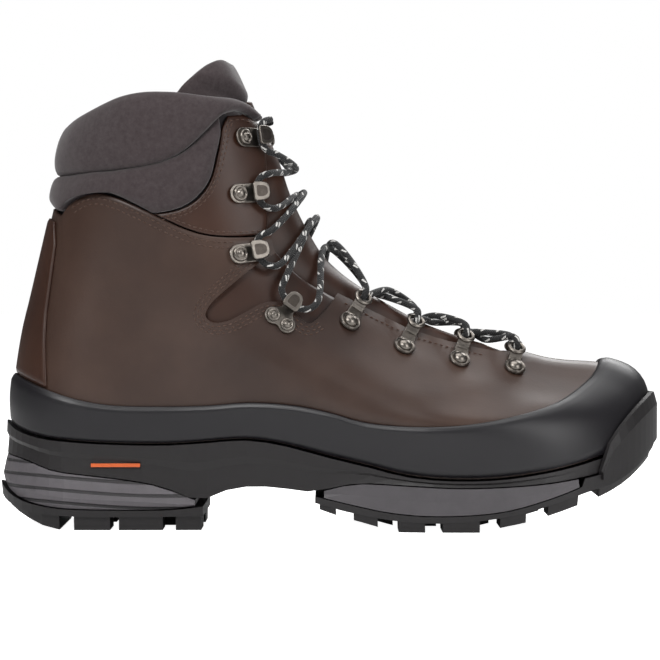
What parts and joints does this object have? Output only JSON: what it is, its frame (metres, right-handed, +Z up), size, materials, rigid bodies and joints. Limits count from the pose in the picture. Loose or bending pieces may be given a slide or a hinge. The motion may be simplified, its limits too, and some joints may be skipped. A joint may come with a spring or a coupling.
{
  "type": "mountaineering boot",
  "caption": "Ankle-high leather mountaineering boot with padded collar, lugged rubber sole, full rubber rand and a lace through riveted loops and hooks; right foot",
  "frame": {"origin": "on the ground, under the middle of the boot's bounding box", "axes": "+X runs from heel to toe, +Z is up, +Y points to the inner side of the foot"},
  "size_m": [0.3088, 0.1091, 0.2171],
  "materials": {
    "main_leather": "waxed full-grain leather with a soft sheen",
    "trim_leather": "smooth red-brown leather",
    "padding_textile": "brushed grey-brown padded textile",
    "lining_textile": "dark knitted lining",
    "footbed_foam": "textile-covered moulded foam",
    "board": "pressed fibre board",
    "stiffener": "thermoplastic sheet",
    "shank_steel": "spring steel strip",
    "rand_rubber": "smooth black rubber with a slight sheen",
    "midsole_rubber": "matte black moulded rubber",
    "outsole_rubber": "matte black tread rubber",
    "cushion_foam": "mid-grey moulded foam",
    "orange_inlay": "matt orange plastic",
    "hardware_nickel": "antique nickel plating, softly polished",
    "lace_cord": "round braided cord, black with pale flecks"
  },
  "bodies": {
    "boot": {"outsole_heel": "outsole_rubber", "outsole_forefoot": "outsole_rubber", "midsole": "midsole_rubber", "heel_cushion": "cushion_foam", "forefoot_cushion": "cushion_foam", "cushion_bar_outer": "orange_inlay", "cushion_bar_inner": "orange_inlay", "insole_board": "board", "shank": "shank_steel", "rubber_rand": "rand_rubber", "upper_leather": "main_leather", "backstay": "trim_leather", "heel_counter": "stiffener", "toe_puff": "stiffener", "flex_panel_outer": "trim_leather", "flex_panel_inner": "trim_leather", "lining": "lining_textile", "tongue": "padding_textile", "hook_3_outer": "hardware_nickel", "hook_3_rivet_outer": "hardware_nickel", "hook_3_inner": "hardware_nickel", "hook_3_rivet_inner": "hardware_nickel", "hook_4_outer": "hardware_nickel", "hook_4_rivet_a_outer": "hardware_nickel", "hook_4_rivet_b_outer": "hardware_nickel", "hook_4_inner": "hardware_nickel", "hook_4_rivet_a_inner": "hardware_nickel", "hook_4_rivet_b_inner": "hardware_nickel", "loop_1_outer": "hardware_nickel", "loop_1_rivet_outer": "hardware_nickel", "loop_1_inner": "hardware_nickel", "loop_1_rivet_inner": "hardware_nickel", "loop_2_outer": "hardware_nickel", "loop_2_rivet_outer": "hardware_nickel", "loop_2_inner": "hardware_nickel", "loop_2_rivet_inner": "hardware_nickel", "loop_3_outer": "hardware_nickel", "loop_3_rivet_outer": "hardware_nickel", "loop_3_inner": "hardware_nickel", "loop_3_rivet_inner": "hardware_nickel", "loop_4_outer": "hardware_nickel", "loop_4_rivet_outer": "hardware_nickel", "loop_4_inner": "hardware_nickel", "loop_4_rivet_inner": "hardware_nickel", "lace": "lace_cord"},
    "cuff": {"collar_pad_upper": "padding_textile", "collar_pad_lower": "padding_textile", "cuff_panel_outer": "trim_leather", "cuff_panel_inner": "trim_leather", "hook_1_outer": "hardware_nickel", "hook_1_rivet_outer": "hardware_nickel", "hook_1_inner": "hardware_nickel", "hook_1_rivet_inner": "hardware_nickel", "hook_2_outer": "hardware_nickel", "hook_2_rivet_outer": "hardware_nickel", "hook_2_inner": "hardware_nickel", "hook_2_rivet_inner": "hardware_nickel"},
    "tongue_top": {"tongue_pad": "padding_textile", "tongue_facing": "trim_leather"},
    "footbed": {"footbed": "footbed_foam"}
  },
  "joints": [
    {"name": "ankle_flex", "type": "hinge", "parent": "boot", "child": "cuff", "pos_m": [-0.066, 0, 0.105], "axis": [0, 1, 0], "range_deg": [-5, 8], "stiffness_Nm_per_rad": 8, "deforming": ["upper_leather", "backstay", "lining", "tongue", "flex_panel_outer", "flex_panel_inner", "lace"]},
    {"name": "tongue_top_hinge", "type": "hinge", "parent": "cuff", "child": "tongue_top", "pos_m": [-0.0285, -0.0025, 0.1825], "axis": [0, 1, 0], "range_deg": [-6, 12], "stiffness_Nm_per_rad": 0.3},
    {"name": "footbed_lift", "type": "hinge", "parent": "boot", "child": "footbed", "pos_m": [0.13, 0, 0.0385], "axis": [0, 1, 0], "range_deg": [0, 5]}
  ]
}
